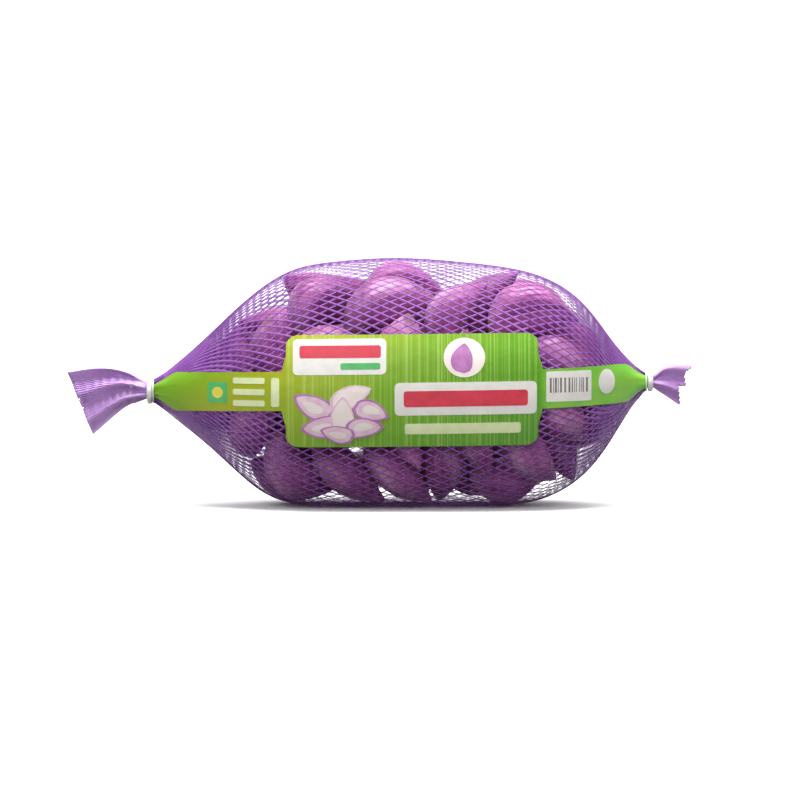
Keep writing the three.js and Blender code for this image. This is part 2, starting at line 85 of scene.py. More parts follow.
LABEL_THICKNESS = 0.14 * MM
LABEL_STAND_OFF = 0.5 * MM  # from the net's crossings to the band's front
BAND_INSET = 0.02 * MM  # a ray at the band's very edge would miss it
BAND_ROUNDS = 260
BAND_FOOT = 22.5 * MM  # the height where the band's print starts

CLOVE_RINGS = 38
CLOVE_SIDES = 36
WIDEST = 0.42  # where a clove is fullest, from its root end (0) to its tip (1)

PRINT_STEP = 0.8 * MM  # between the rings of points across a print
PRINT_SUNK = 0.04 * MM  # how deep a print's back lies in the band
PRINT_TILT = 0.012  # how the printed blocks rise to the right
SKIN_THICKNESS = 0.12 * MM
SKIN_MARGIN = 6.5 * MM  # between a loose skin's middle and the bag's outline
SKIN_APART = 7 * MM

FLOOR_Z = 0.0
OUTSIDE = 0.2  # a distance from the middle plane that is outside the pack
CRISP_ANGLE = math.radians(40)


# ---------------------------------------------------------------- small helpers


def world_vertices(node):
    mesh = NODES[node].data
    points = np.zeros(len(mesh.vertices) * 3)
    mesh.vertices.foreach_get("co", points)
    return points.reshape(-1, 3)


def node_tree(node):
    """A search tree over the faces of a CAD node."""
    mesh = NODES[node].data
    points = [v.co.copy() for v in mesh.vertices]
    return BVHTree.FromPolygons(points, [list(p.vertices) for p in mesh.polygons])


def merged_tree(objects):
    """A search tree over the faces of several pieces."""
    points, faces = [], []
    for obj in objects:
        base = len(points)
        points.extend(obj.matrix_world @ v.co for v in obj.data.vertices)
        faces.extend([base + i for i in p.vertices] for p in obj.data.polygons)
    return BVHTree.FromPolygons(points, faces)


def front_y(tree, x, z):
    """y of the nearest face to the viewer at a place in the front view, or None."""
    hit = tree.ray_cast(Vector((x, -OUTSIDE, z)), Vector((0, 1, 0)))[0]
    return hit.y if hit is not None else None


def closed_sheet(front, thickness, along, across):
    """A thin sheet's points and faces: its front, given in rows of across points, and the same behind it."""
    size = len(front)
    points = [*front, *((x, y + thickness, z) for x, y, z in front)]
    faces = []
    for i in range(along - 1):
        for k in range(across - 1):
            a, b = i * across + k, (i + 1) * across + k
            faces.append((a, b, b + 1, a + 1))
            faces.append((size + a + 1, size + b + 1, size + b, size + a))
    rim = [i * across for i in range(along)]
    rim += [(along - 1) * across + k for k in range(1, across)]
    rim += [i * across + across - 1 for i in range(along - 2, -1, -1)]
    rim += list(range(across - 2, 0, -1))
    for a, b in zip(rim, rim[1:] + rim[:1]):
        faces.append((b, a, size + a, size + b))
    return points, faces


def new_object(name, points, faces, material, slot, uv=None, crisp=False, **values):
    """A mesh piece. Each further value is kept as an attribute of its points."""
    mesh = bpy.data.meshes.new(name)
    mesh.from_pydata([tuple(p) for p in points], [], faces)
    mesh.validate()
    mesh.polygons.foreach_set("use_smooth", [True] * len(mesh.polygons))
    if crisp:
        mesh.set_sharp_from_angle(angle=CRISP_ANGLE)
    if uv is not None:
        layer = mesh.uv_layers.new(name="UVMap")
        loops = np.zeros(len(mesh.loops), np.int32)
        mesh.loops.foreach_get("vertex_index", loops)
        layer.data.foreach_set("uv", np.asarray(uv)[loops].ravel())
    for key, value in values.items():
        value = np.asarray(value, np.float32)
        vector = value.ndim == 2
        attribute = mesh.attributes.new(key, "FLOAT_VECTOR" if vector else "FLOAT", "POINT")
        attribute.data.foreach_set("vector" if vector else "value", value.ravel())
    mesh.materials.append(material)
    obj = bpy.data.objects.new(name, mesh)
    bpy.context.scene.collection.objects.link(obj)
    return obj


def smoothstep(low, high, x):
    """0 below low and 1 above high, with a smooth rise between them."""
    t = np.clip((np.asarray(x, float) - low) / (high - low), 0, 1)
    return t * t * (3 - 2 * t)


class Tree:
    """A few lines that keep node materials short."""

    def __init__(self, name):
        self.material = bpy.data.materials.new(name)
        self.material.use_nodes = True
        self.nodes = self.material.node_tree.nodes
        self.links = self.material.node_tree.links
        self.shader = self.nodes["Principled BSDF"]

    def add(self, kind, **settings):
        node = self.nodes.new(kind)
        for key, value in settings.items():
            setattr(node, key, value)
        return node

    def link(self, source, target):
        self.links.new(source, target)

    def math(self, operation, a, b):
        node = self.add("ShaderNodeMath", operation=operation)
        for socket, value in zip(node.inputs, (a, b)):
            if isinstance(value, (int, float)):
                socket.default_value = value
            else:
                self.link(value, socket)
        return node.outputs[0]

    def noise(self, vector, scale, detail=3.0, roughness=0.5, distortion=0.0):
        node = self.add("ShaderNodeTexNoise")
        node.inputs["Scale"].default_value = scale
        node.inputs["Detail"].default_value = detail
        node.inputs["Roughness"].default_value = roughness
        node.inputs["Distortion"].default_value = distortion
        self.link(vector, node.inputs["Vector"])
        return node.outputs["Fac"]

    def mapping(self, vector, scale):
        node = self.add("ShaderNodeMapping")
        node.inputs["Scale"].default_value = scale
        self.link(vector, node.inputs["Vector"])
        return node.outputs[0]

    def ramp(self, factor, stops):
        node = self.add("ShaderNodeValToRGB")
        ramp = node.color_ramp
        while len(ramp.elements) < len(stops):
            ramp.elements.new(0.5)
        for element, (place, colour) in zip(ramp.elements, stops):
            element.position = place
            element.color = (*colour, 1)
        self.link(factor, node.inputs[0])
        return node.outputs[0]

    def greys(self, factor, low, high):
        """A grey that rises from low to high as the factor rises from 0.3 to 0.7."""
        return self.ramp(factor, [(0.3, (low,) * 3), (0.7, (high,) * 3)])

    def mix(self, factor, a, b, blend="MIX"):
        node = self.add("ShaderNodeMix", data_type="RGBA", blend_type=blend)
        for socket, value in ((node.inputs[0], factor), (node.inputs[6], a), (node.inputs[7], b)):
            if isinstance(value, (int, float)):
                socket.default_value = value
            elif isinstance(value, tuple):
                socket.default_value = (*value, 1)
            else:
                self.link(value, socket)
        return node.outputs[2]

    def bump(self, height, strength, distance, normal=None):
        node = self.add("ShaderNodeBump")
        node.inputs["Strength"].default_value = strength
        node.inputs["Distance"].default_value = distance
        self.link(height, node.inputs["Height"])
        if normal is not None:
            self.link(normal, node.inputs["Normal"])
        return node.outputs[0]

    def constant(self, **values):
        for name, value in values.items():
            self.shader.inputs[name.replace("_", " ")].default_value = value


# ---------------------------------------------------------------- materials


def clove_material():
    """Papery purple skin: streaks along the clove, paler near its root, with a painted highlight along the
    crest of its back, and brown at both ends."""
    t = Tree("clove_skin")
    uv = t.add("ShaderNodeUVMap", uv_map="UVMap").outputs[0]
    along = t.add("ShaderNodeSeparateXYZ")
    t.link(uv, along.inputs[0])
    place = t.add("ShaderNodeAttribute", attribute_name="grain").outputs["Vector"]
    tone = t.add("ShaderNodeAttribute", attribute_name="tone").outputs["Fac"]
    long_grain = t.mapping(place, scale=(60, 900, 900))
    broad_grain = t.mapping(place, scale=(25, 260, 260))
    fine = t.noise(long_grain, 1.0, detail=4, roughness=0.6)
    broad = t.noise(broad_grain, 1.0, detail=3, roughness=0.55, distortion=0.4)
    mottle = t.noise(place, 160, detail=4, roughness=0.6)
    base = t.ramp(
        broad,
        [(0.3, (0.26, 0.055, 0.19)), (0.5, (0.40, 0.10, 0.30)), (0.72, (0.55, 0.19, 0.41))],
    )
    streaks = t.ramp(fine, [(0.35, (0.62, 0.45, 0.62)), (0.55, (1, 1, 1)), (0.8, (1.18, 1.12, 1.14))])
    colour = t.mix(0.75, base, streaks, "MULTIPLY")
    spots = t.ramp(mottle, [(0.42, (0.86, 0.8, 0.86)), (0.6, (1.05, 1.03, 1.05))])
    colour = t.mix(0.6, colour, spots, "MULTIPLY")
    by_clove = t.ramp(tone, [(0.0, (0.78, 0.72, 0.8)), (0.5, (1, 1, 1)), (1.0, (1.14, 1.2, 1.12))])
    colour = t.mix(1.0, colour, by_clove, "MULTIPLY")
    pale = t.ramp(along.outputs[1], [(0.05, (1, 1, 1)), (0.2, (0, 0, 0))])
    colour = t.mix(t.math("MULTIPLY", pale, 0.3), colour, (0.60, 0.34, 0.52))
    # painted highlight: the crest of each clove's back is lightened towards cream in broken patches, standing
    # in for light catching the ridge
    crest = t.add("ShaderNodeAttribute", attribute_name="crest").outputs["Fac"]
    painted_highlight_breakup = t.ramp(broad, [(0.36, (0.1,) * 3), (0.62, (1, 1, 1))])
    colour = t.mix(t.math("MULTIPLY", t.math("MULTIPLY", crest, painted_highlight_breakup), 0.55), colour, (0.82, 0.55, 0.72))
    ends = t.ramp(
        along.outputs[1],
        [
            (0.0, (1, 1, 1)),
            (0.014, (1, 1, 1)),
            (0.03, (0, 0, 0)),
            (0.975, (0, 0, 0)),
            (1.0, (0.7, 0.7, 0.7)),
        ],
    )
    colour = t.mix(ends, colour, (0.24, 0.10, 0.14))
    t.link(colour, t.shader.inputs["Base Color"])
    t.link(t.greys(fine, 0.42, 0.56), t.shader.inputs["Roughness"])
    fine_bump = t.bump(fine, 0.35, 0.00025)
    t.link(t.bump(broad, 0.4, 0.0005, fine_bump), t.shader.inputs["Normal"])
    t.constant(Specular_IOR_Level=0.35, Sheen_Weight=0.12, Sheen_Roughness=0.5, Coat_Weight=0.05)
    return t.material


def net_material(name, low, high, clearness):
    """Thin purple polyethylene tape that lets some light through."""
    t = Tree(name)
    place = t.add("ShaderNodeTexCoord").outputs["Object"]
    drawn = t.noise(place, 700, detail=2)
    patches = t.noise(place, 90, detail=2)
    colour = t.ramp(patches, [(0.35, low), (0.65, high)])
    streaks = t.ramp(drawn, [(0.3, (0.82, 0.78, 0.86)), (0.7, (1.1, 1.08, 1.1))])
    colour = t.mix(0.5, colour, streaks, "MULTIPLY")
    t.link(colour, t.shader.inputs["Base Color"])
    t.link(t.greys(drawn, 0.38, 0.52), t.shader.inputs["Roughness"])
    t.link(t.bump(drawn, 0.2, 0.0001), t.shader.inputs["Normal"])
    t.constant(Alpha=1 - clearness, Specular_IOR_Level=0.4)
    return t.material


def label_material():
    """Printed film: yellow green near the panel's left end, green elsewhere, with upright stripes in it."""
    t = Tree("label_print")
    uv = t.add("ShaderNodeUVMap", uv_map="UVMap").outputs[0]
    part = t.add("ShaderNodeSeparateXYZ")
    t.link(uv, part.inputs[0])
    across, up = part.outputs[0], part.outputs[1]
    # 0 at the panel's top left corner, rising to the right and downwards
    slide = t.math("ADD", across, t.math("MULTIPLY", t.math("SUBTRACT", 1.0, up), 0.5))
    span = t.math("MULTIPLY", t.math("ADD", slide, 0.6), 1 / 2.6)
    ground = t.ramp(
        span,
        [
            (0.02, (0.099, 0.310, 0.011)),
            (0.10, (0.120, 0.338, 0.013)),
            (0.18, (0.190, 0.352, 0.013)),
            (0.26, (0.352, 0.394, 0.013)),
            (0.34, (0.296, 0.380, 0.014)),
            (0.46, (0.169, 0.338, 0.013)),
            (0.61, (0.102, 0.296, 0.011)),
            (0.80, (0.063, 0.253, 0.010)),
        ],
    )
    on_strap = t.ramp(t.math("MULTIPLY", across, 0.5), [(0.5, (0, 0, 0)), (0.52, (1, 1, 1))])
    blotch = t.noise(t.mapping(uv, scale=(9, 3.5, 1)), 1.0, detail=2)
    strap = t.ramp(
        blotch,
        [(0.35, (0.15, 0.44, 0.035)), (0.6, (0.21, 0.49, 0.05)), (0.75, (0.12, 0.42, 0.06))],
    )
    ground = t.mix(on_strap, ground, strap)
    stripes = t.add("ShaderNodeTexNoise", noise_dimensions="1D")
    stripes.inputs["Scale"].default_value = 62
    stripes.inputs["Detail"].default_value = 1.5
    t.link(across, stripes.inputs["W"])
    light = t.ramp(
        stripes.outputs["Fac"],
        [(0.5, (0, 0, 0)), (0.56, (1, 1, 1)), (0.6, (1, 1, 1)), (0.66, (0, 0, 0))],
    )
    in_panel = t.ramp(
        t.math("MULTIPLY", t.math("ADD", across, 1.0), 1 / 3),
        [(0.332, (0, 0, 0)), (0.334, (1, 1, 1)), (0.665, (1, 1, 1)), (0.667, (0, 0, 0))],
    )
    striped = t.math("MULTIPLY", t.math("MULTIPLY", light, in_panel), 0.34)
    colour = t.mix(striped, ground, (0.52, 0.68, 0.20))
    speck = t.noise(t.mapping(uv, scale=(420, 120, 1)), 1.0, detail=2)
    colour = t.mix(0.5, colour, t.greys(speck, 0.92, 1.06), "MULTIPLY")
    t.link(colour, t.shader.inputs["Base Color"])
    crease = t.noise(t.mapping(uv, scale=(16, 9, 1)), 1.0, detail=2, roughness=0.45)
    t.link(t.bump(crease, 0.35, 0.0006), t.shader.inputs["Normal"])
    t.link(t.greys(crease, 0.3, 0.42), t.shader.inputs["Roughness"])
    t.constant(Specular_IOR_Level=0.2, Coat_Weight=0.04, Coat_Roughness=0.25)
    return t.material


def print_material(name, low, high):
    """An area of one printed colour, with a little unevenness in the ink."""
    t = Tree(name)
    place = t.add("ShaderNodeTexCoord").outputs["Object"]
    ink = t.noise(place, 300, detail=3)
    t.link(t.ramp(ink, [(0.3, low), (0.7, high)]), t.shader.inputs["Base Color"])
    t.link(t.greys(ink, 0.35, 0.48), t.shader.inputs["Roughness"])
    t.constant(Specular_IOR_Level=0.4)
    return t.material


def clip_material():
    """White moulded plastic, slightly uneven."""
    t = Tree("clip_plastic")
    place = t.add("ShaderNodeTexCoord").outputs["Object"]
    grain = t.noise(place, 1400, detail=3)
    cloud = t.noise(place, 260, detail=2)
    colour = t.ramp(cloud, [(0.35, (0.70, 0.70, 0.66)), (0.65, (0.82, 0.82, 0.79))])
    t.link(colour, t.shader.inputs["Base Color"])
    t.link(t.greys(grain, 0.32, 0.46), t.shader.inputs["Roughness"])
    t.link(t.bump(grain, 0.12, 0.0001), t.shader.inputs["Normal"])
    t.constant(Subsurface_Weight=0.15, Subsurface_Scale=0.001)
    return t.material


# ---------------------------------------------------------------- cloves


def fullness(t):
    """How full a clove is from its root end (0) to its tip (1)."""
    if t < WIDEST:
        return math.sqrt(max(1 - (1 - t / WIDEST) ** 2.2, 0))
    return max(math.cos((t - WIDEST) / (1 - WIDEST) * math.pi / 2), 0) ** 0.85


def measure_clove(node):
    """The clove's own axes and sizes, read from its CAD solid."""
    points = world_vertices(node)
    spread = np.linalg.norm(points[:, None] - points[None], axis=2)
    a, b = np.unravel_index(spread.argmax(), spread.shape)
    length = spread[a, b]
    along = (points[b] - points[a]) / length
    at = (points - points[a]) @ along
    away = np.linalg.norm(points - points[a] - np.outer(at, along), axis=1)
    near_a = away[at < 0.16 * length].max(initial=0)
    near_b = away[at > 0.84 * length].max(initial=0)
    if near_a < near_b:
        along = -along
        root = points[b]
    else:
        root = points[a]
    middle = root + along * length / 2
    bulge = points.mean(axis=0) - middle
    back = bulge - along * (bulge @ along)
    back /= np.linalg.norm(back)
    side = np.cross(back, along)
    local = points - middle
    return {
        "middle": middle,
        "axes": np.array([along, side, back]),
        "length": length,
        "width": np.ptp(local @ side),
        "low": (local @ back).min(),
        "high": (local @ back).max(),
    }


def clove_form(size, random):
    """The clove's skin about the middle of the line from its root to its tip, with x towards the tip."""
    length, width = size["length"], size["width"] * 1.02
    low, high = size["low"], size["high"]
    centre = high * 0.44  # the height of the section's own centre at its fullest
    ridges = random.uniform(0.004, 0.014)
    ridge_count = random.integers(3, 6)
    ridge_phase = random.uniform(0, 2 * math.pi)
    lean = random.uniform(-0.05, 0.05) * width
    edge = random.uniform(0.45, 0.75)
    hook = random.uniform(0.0, 0.05) * length
    points, uv, crest = [], [], []
    stations = [0.5 - 0.5 * math.cos(math.pi * i / (CLOVE_RINGS - 1)) for i in range(CLOVE_RINGS)]
    for t in stations:
        full = fullness(t)
        for k in range(CLOVE_SIDES):
            turn = 2 * math.pi * k / CLOVE_SIDES
            s, b = math.cos(turn), math.sin(turn)
            if b >= 0:
                ridge = 1 + ridges * math.sin(ridge_count * turn * 2 + ridge_phase) * math.sin(math.pi * t)
                y = s * width / 2 * full * ridge
                z = centre * full + b * (high - centre) * full * ridge
            else:
                pinch = 1 - 0.5 * abs(b) ** 1.5
                y = s * pinch * width / 2 * full
                round_belly = abs(b)
                flat_belly = 1 - abs(s * pinch)
                belly = edge * flat_belly + (1 - edge) * round_belly
                z = centre * full - belly * (centre - low) * full
            x = (t - 0.5) * length
            y += lean * math.sin(math.pi * t)
            z += hook * max(t - 0.8, 0) * 5 * max(t - 0.8, 0)
            points.append((x, y, z))
            uv.append((k / CLOVE_SIDES, t))
            # crest marks the top of the back, where the skin material paints its highlight
            crest.append(max(b, 0) ** 14 * math.sin(math.pi * t) ** 0.5)
    faces = []
    for i in range(CLOVE_RINGS - 1):
        for k in range(CLOVE_SIDES):
            n = (k + 1) % CLOVE_SIDES
            here, ahead = i * CLOVE_SIDES, (i + 1) * CLOVE_SIDES
            a, b, c, d = here + k, here + n, ahead + n, ahead + k
            if i == 0:
                faces.append((a, c, d))
            elif i == CLOVE_RINGS - 2:
                faces.append((a, b, d))
            else:
                faces.append((a, b, c, d))
    return points, uv, crest, faces


def weld(points, uv, crest, faces):
    """The first and last rings have no size, so each becomes one point."""
    last = (CLOVE_RINGS - 1) * CLOVE_SIDES
    keep, where = [], {}
    for i in range(len(points)):
        home = 0 if i < CLOVE_SIDES else last if i >= last else i
        if home not in where:
            where[home] = len(keep)
            keep.append(home)
        where[i] = where[home]
    made = [tuple(where[i] for i in f) for f in faces]
    faces = [f for f in made if len(set(f)) == len(f)]
    return [points[i] for i in keep], [uv[i] for i in keep], [crest[i] for i in keep], faces


def make_clove(node, material, random):
    """One clove in its skin, in the place of its CAD solid."""
    size = measure_clove(node)
    points, uv, crest, faces = weld(*clove_form(size, random))
    tone = random.uniform(0, 1)
    tones = [tone] * len(points)
    grain = np.array(points) + tone  # each clove takes its own stretch of the grain
    placed = size["middle"] + np.array(points) @ size["axes"]
    name = node.replace("clove", "skinned_clove")
    obj = new_object(name, placed, faces, material, "clove", uv, tone=tones, grain=grain, crest=crest)
    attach(obj, "root")
    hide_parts(node)
    return obj


def seen_through(tree, x, z, half_depth):
    """Whether a line along Y, inside the bag, meets no clove."""
    return tree.ray_cast(Vector((x, -half_depth, z)), Vector((0, 1, 0)), 2 * half_depth)[0] is None


def loose_skin(x, y, z, random):
    """A scrap of clove skin: a thin cupped flake with a torn edge."""
    length, width = random.uniform(11, 13) * MM, random.uniform(7, 9) * MM
    lean = random.uniform(-0.9, 0.9)
    along, across = 15, 11
    front, uv = [], []
    for i in range(along):
        t = i / (along - 1)
        for k in range(across):
            side = 2 * k / (across - 1) - 1
            torn = 1 + 0.06 * math.sin(9 * t + 5 * side) * abs(side)
            u = (t - 0.5) * length
            v = side * width / 2 * fullness(0.06 + 0.88 * t) * torn
            depth = 1.6 * MM * (1 - side**2) * math.sin(math.pi * t)
            front.append((
                x + u * math.cos(lean) - v * math.sin(lean),
                y - depth,
                z + u * math.sin(lean) + v * math.cos(lean),
            ))
            uv.append((k / across, t))
    return front, uv, along, across


def well_inside(x, z, margin):
    """Whether a place in the front view is further than the margin from the bag's outline."""
    for side in (-margin, margin):
        middle, half_height, _ = section_at(x + side)
        if abs(z - middle) + margin > half_height:
            return False
    return True


def make_loose_skins(tree, material, random):
    """Scraps of loose skin inside the bag, where one could see right through it between the cloves."""
    placed = []
    for x in np.arange(-50 * MM, 70 * MM, 5 * MM):
        middle, half_height, half_depth = section_at(x)
        for z in np.arange(middle - 0.88 * half_height, middle + 0.8 * half_height, 5 * MM):
            up = min(abs(z - middle) / half_height, 0.98)
            depth = 0.86 * half_depth * math.sqrt(1 - up**2)
            near = any(math.hypot(x - p[0], z - p[2]) < SKIN_APART for p in placed)
            if seen_through(tree, x, z, depth) and not near and well_inside(x, z, SKIN_MARGIN):
                placed.append((x, 0.2 * depth, z))
    for number, (x, y, z) in enumerate(placed, 1):
        front, uv, along, across = loose_skin(x, y, z, random)
        points, faces = closed_sheet(front, SKIN_THICKNESS, along, across)
        tone = random.uniform(0, 0.4)
        grain = np.array(points) + tone
        name = f"loose_skin_{number:02d}"
        tones = [tone] * len(points)
        crest = [0.0] * len(points)
        values = {"tone": tones, "grain": grain, "crest": crest}
        obj = new_object(name, points, faces, material, "clove", uv * 2, **values)
        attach(obj, "root")


# ---------------------------------------------------------------- net


SKIN = node_tree("net_sleeve")
LEFT_CLIP = np.array(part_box("clip_left")).mean(axis=0)
RIGHT_CLIP = np.array(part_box("clip_right")).mean(axis=0)


def section_at(x):
    """Middle height, half height and half depth of the CAD sleeve at x."""
    beside = 0.11 * MM  # a little off the middle plane, where mesh edges may run
    top = SKIN.ray_cast(Vector((x, beside, OUTSIDE)), Vector((0, 0, -1)))[0]
    bottom = SKIN.ray_cast(Vector((x, beside, -0.1)), Vector((0, 0, 1)))[0]
    if top is None or bottom is None:
        return None
    middle = (top.z + bottom.z) / 2
    front = front_y(SKIN, x, middle)
    depth = abs(front) if front is not None else 1 * MM
    return middle, (top.z - bottom.z) / 2, depth


def girth(half_height, half_depth):
    """Length round an ellipse, by Ramanujan's formula."""
    h = ((half_height - half_depth) / (half_height + half_depth)) ** 2
    return math.pi * (half_height + half_depth) * (1 + 3 * h / (10 + math.sqrt(4 - 3 * h)))


def net_rows():
    """x of each row of crossings. The strands keep their length, so rows spread where the net is bunched."""
    low, high = CAD_BOX[0][0], CAD_BOX[1][0]
    side = math.hypot(CELL_LONG / 2, CELL_HIGH / 2)
    columns = 2 * STARTS
    rows = [LEFT_CLIP[0]]
    for direction, stop in ((1, high - 0.0004), (-1, low + 0.0004)):
        x = LEFT_CLIP[0]
        while True:
            here = section_at(x)
            ahead = section_at(min(max(x + direction * 0.001, low + 0.0002), high - 0.0002))
            if here is None or ahead is None:
                break
            slope = (ahead[1] - here[1]) / 0.001
            narrow = girth(here[1], here[2]) / columns
            step = math.sqrt(max(side**2 - narrow**2, (0.6 * side) ** 2))
            x += direction * step / math.sqrt(1 + slope**2)
            if direction * (x - stop) > 0:
                break
            if direction > 0:
                rows.append(x)
            else:
                rows.insert(0, x)
    return [to_cut_end(x, rows, low, high) for x in rows]


def to_cut_end(x, rows, low, high):
    """The row of a tail moved a little outwards, so that the tail's last row is at its end."""
    if x < LEFT_CLIP[0]:
        clip, row, end = LEFT_CLIP[0], rows[0], low + TAIL_MARGIN
    elif x > RIGHT_CLIP[0]:
        clip, row, end = RIGHT_CLIP[0], rows[-1], high - TAIL_MARGIN
    else:
        return x
    return clip + (x - clip) * (end - clip) / (row - clip)


def tail_row(x, columns, depth_share):
    """One row of a tail's crossings. The rows fan out, in a few pleats, from the clip to a slanted end."""
    side = "left" if x < LEFT_CLIP[0] else "right"
    ends = {"left": (LEFT_CLIP[0], CAD_BOX[0][0]), "right": (RIGHT_CLIP[0], CAD_BOX[1][0])}
    clip, end = ends[side]
    out = (x - clip) / (end - clip)
    shorter = TAIL_SHORTER[side] * (1 if side == "left" else -1)
    low_x = clip + out * (end + shorter - clip)
    middle, half_height, _ = section_at(x)
    low_middle, low_half, half_depth = section_at(low_x)
    top = np.array((x, 0, middle + half_height))
    low = np.array((low_x, 0, low_middle - low_half))
    bunched = 1 - float(smoothstep(0.0, 0.25, out))
    row = np.zeros((columns, 3))
    for j in range(columns):
        angle = 2 * math.pi * (j + 0.5) / columns
        up = 0.5 + 0.5 * math.sin(angle) * (1 - bunched * (1 - depth_share[j]))
        row[j] = low + (top - low) * up
        layer = half_depth * math.cos(angle) * (0.35 + 0.6 * bunched)
        pleat = half_depth * 0.75 * (1 - bunched) * math.sin(up * 2 * math.pi * PLEATS[side] + 1.3)
        row[j, 1] = layer + pleat
    return row


def first_net(rows, random):
    """The crossings on the CAD sleeve, or bunched and folded where a clip holds them."""
    columns = 2 * STARTS
    grid = np.zeros((len(rows), columns, 3))
    depth_share = random.uniform(0.35, 1.0, columns)
    depth_share = (depth_share + np.roll(depth_share, 1)) / 2
    for i, x in enumerate(rows):
        if x < LEFT_CLIP[0] or x > RIGHT_CLIP[0]:
            grid[i] = tail_row(x, columns, depth_share)
            continue
        middle, half_height, half_depth = section_at(x)
        near_clip = min(abs(x - LEFT_CLIP[0]), abs(x - RIGHT_CLIP[0]))
        bunched = 1 - float(smoothstep(0.001, 0.006, near_clip))
        for j in range(columns):
            angle = 2 * math.pi * (j + 0.5) / columns
            way = Vector((0, half_depth * math.cos(angle), half_height * math.sin(angle)))
            start = Vector((x, 0, middle)) + way * 3
            hit = SKIN.ray_cast(start, -way, way.length * 3)[0]
            point = np.array(hit) if hit is not None else np.array((x, way.y, middle + way.z))
            centre = np.array((x, 0, middle))
            point = centre + (point - centre) * (1 - bunched * (1 - depth_share[j]))
            grid[i, j] = point
    return grid


def neighbour_mean(grid):
    """The mean of each crossing's four neighbours along its two strands."""
    total = np.zeros_like(grid)
    for di in (-1, 1):
        moved = np.roll(grid, -di, axis=0)
        for dj in (-1, 1):
            total += np.roll(moved, -dj, axis=1)
    return total / 4


def push_out(point, tree, gap):
    """The point moved clear of the cloves."""
    near, normal, _, distance = tree.find_nearest(Vector(point), 0.006)
    if near is None:
        return point
    away = Vector(point) - near
    if away.dot(normal) < 0:
        return np.array(near + normal * gap)
    if distance < gap:
        return np.array(near + away * (gap / max(distance, 1e-7)))
    return point


def tighten(grid, rows, tree):
    """Draws the net part of the way in over the cloves, with both necks held: the knit is springy, so it
    spans the dips between cloves in place of following them."""
    columns = grid.shape[1]
    held = np.array([x < LEFT_CLIP[0] + 0.003 or x > RIGHT_CLIP[0] - 0.003 for x in rows])
    free = np.where(~held)[0]
    slack = grid.copy()
    for stage, rounds in (("draw", RELAX_ROUNDS), ("ease", EASE_ROUNDS)):
        if stage == "ease":
            grid[free] = slack[free] + (grid[free] - slack[free]) * DRAWN_IN
        for _ in range(rounds):
            target = neighbour_mean(grid)
            grid[free] += (target[free] - grid[free]) * 0.7
            grid[:, :, 2] = np.maximum(grid[:, :, 2], FLOOR_Z + STRAND_WIDTH / 2)
            for i in free:
                for j in range(i % 2, columns, 2):
                    grid[i, j] = push_out(grid[i, j], tree, STRAND_STAND_OFF)
    return grid


def fill_unused(grid):
    """The places between crossings hold the mean of their neighbours, for faces and normals."""
    i, j = np.indices(grid.shape[:2])
    unused = (i + j) % 2 == 1
    total = np.zeros_like(grid)
    weight = np.zeros(grid.shape[:2])
    for shift, axis in ((1, 1), (-1, 1), (1, 0), (-1, 0)):
        valid = np.ones(grid.shape[:2])
        if axis == 0:
            valid[0 if shift > 0 else -1] = 0
        total += np.roll(grid, shift, axis=axis) * valid[..., None]
        weight += valid
    filled = grid.copy()
    filled[unused] = (total / weight[..., None])[unused]
    return filled


def strand_lines(grid):
    """Every strand's points and outward directions, from one cut end to the other."""
    count, columns = grid.shape[:2]
    filled = fill_unused(grid)
    ahead = np.gradient(filled, axis=0)
    around = np.roll(filled, -1, axis=1) - np.roll(filled, 1, axis=1)
    normal = np.cross(around, ahead)
    normal /= np.maximum(np.linalg.norm(normal, axis=2, keepdims=True), 1e-9)
    centre = filled.mean(axis=1, keepdims=True)
    flip = ((filled - centre) * normal).sum(axis=2) < 0
    normal[flip] *= -1
    lines = []
    for lean in (1, -1):
        for start in range(0, columns, 2):
            index = [(i, (start + lean * i) % columns) for i in range(count)]
            points = np.array([grid[i, j] for i, j in index])
            normals = np.array([normal[i, j] for i, j in index])
            lines.append((points, normals, lean))
    return lines


def subdivide(points, normals, parts):
    """A smooth line through the crossings."""
    padded = np.vstack([2 * points[0] - points[1], points, 2 * points[-1] - points[-2]])
    out, out_normals = [], []
    for i in range(len(points) - 1):
        a, b, c, d = padded[i : i + 4]
        for k in range(parts):
            t = k / parts
            square, cube = (2 * a - 5 * b + 4 * c - d) * t**2, (3 * b - a - 3 * c + d) * t**3
            out.append(0.5 * (2 * b + (c - a) * t + square + cube))
            out_normals.append(normals[i] * (1 - t) + normals[i + 1] * t)
    out.append(points[-1])
    out_normals.append(normals[-1])
    return np.array(out), np.array(out_normals)


def tape(points, normals, width, thickness):
    """A flat strand along a line: four corners a section, closed at both ends."""
    tangent = np.gradient(points, axis=0)
    tangent /= np.maximum(np.linalg.norm(tangent, axis=1, keepdims=True), 1e-12)
    side = np.cross(tangent, normals)
    side /= np.maximum(np.linalg.norm(side, axis=1, keepdims=True), 1e-12)
    up = np.cross(side, tangent)
    width = np.asarray(width).reshape(-1, 1) if np.ndim(width) else width
    corners = [side * width / 2, up * thickness / 2, -side * width / 2, -up * thickness / 2]
    rings = np.stack([points + c for c in corners], axis=1)
    count = len(points)
    faces = [(0, 1, 2, 3), tuple((count - 1) * 4 + k for k in (3, 2, 1, 0))]
    for i in range(count - 1):
        for k in range(4):
            n = (k + 1) % 4
            faces.append((i * 4 + k, (i + 1) * 4 + k, (i + 1) * 4 + n, i * 4 + n))
    return rings.reshape(-1, 3), faces


def stretch_at(xs):
    """How far the net is stretched round the bag, as a share of the most."""
    stations = np.linspace(LEFT_CLIP[0], RIGHT_CLIP[0], 60)
    girths = np.array([girth(*section_at(x)[1:]) for x in stations])
    return np.interp(xs, stations, girths / girths.max())


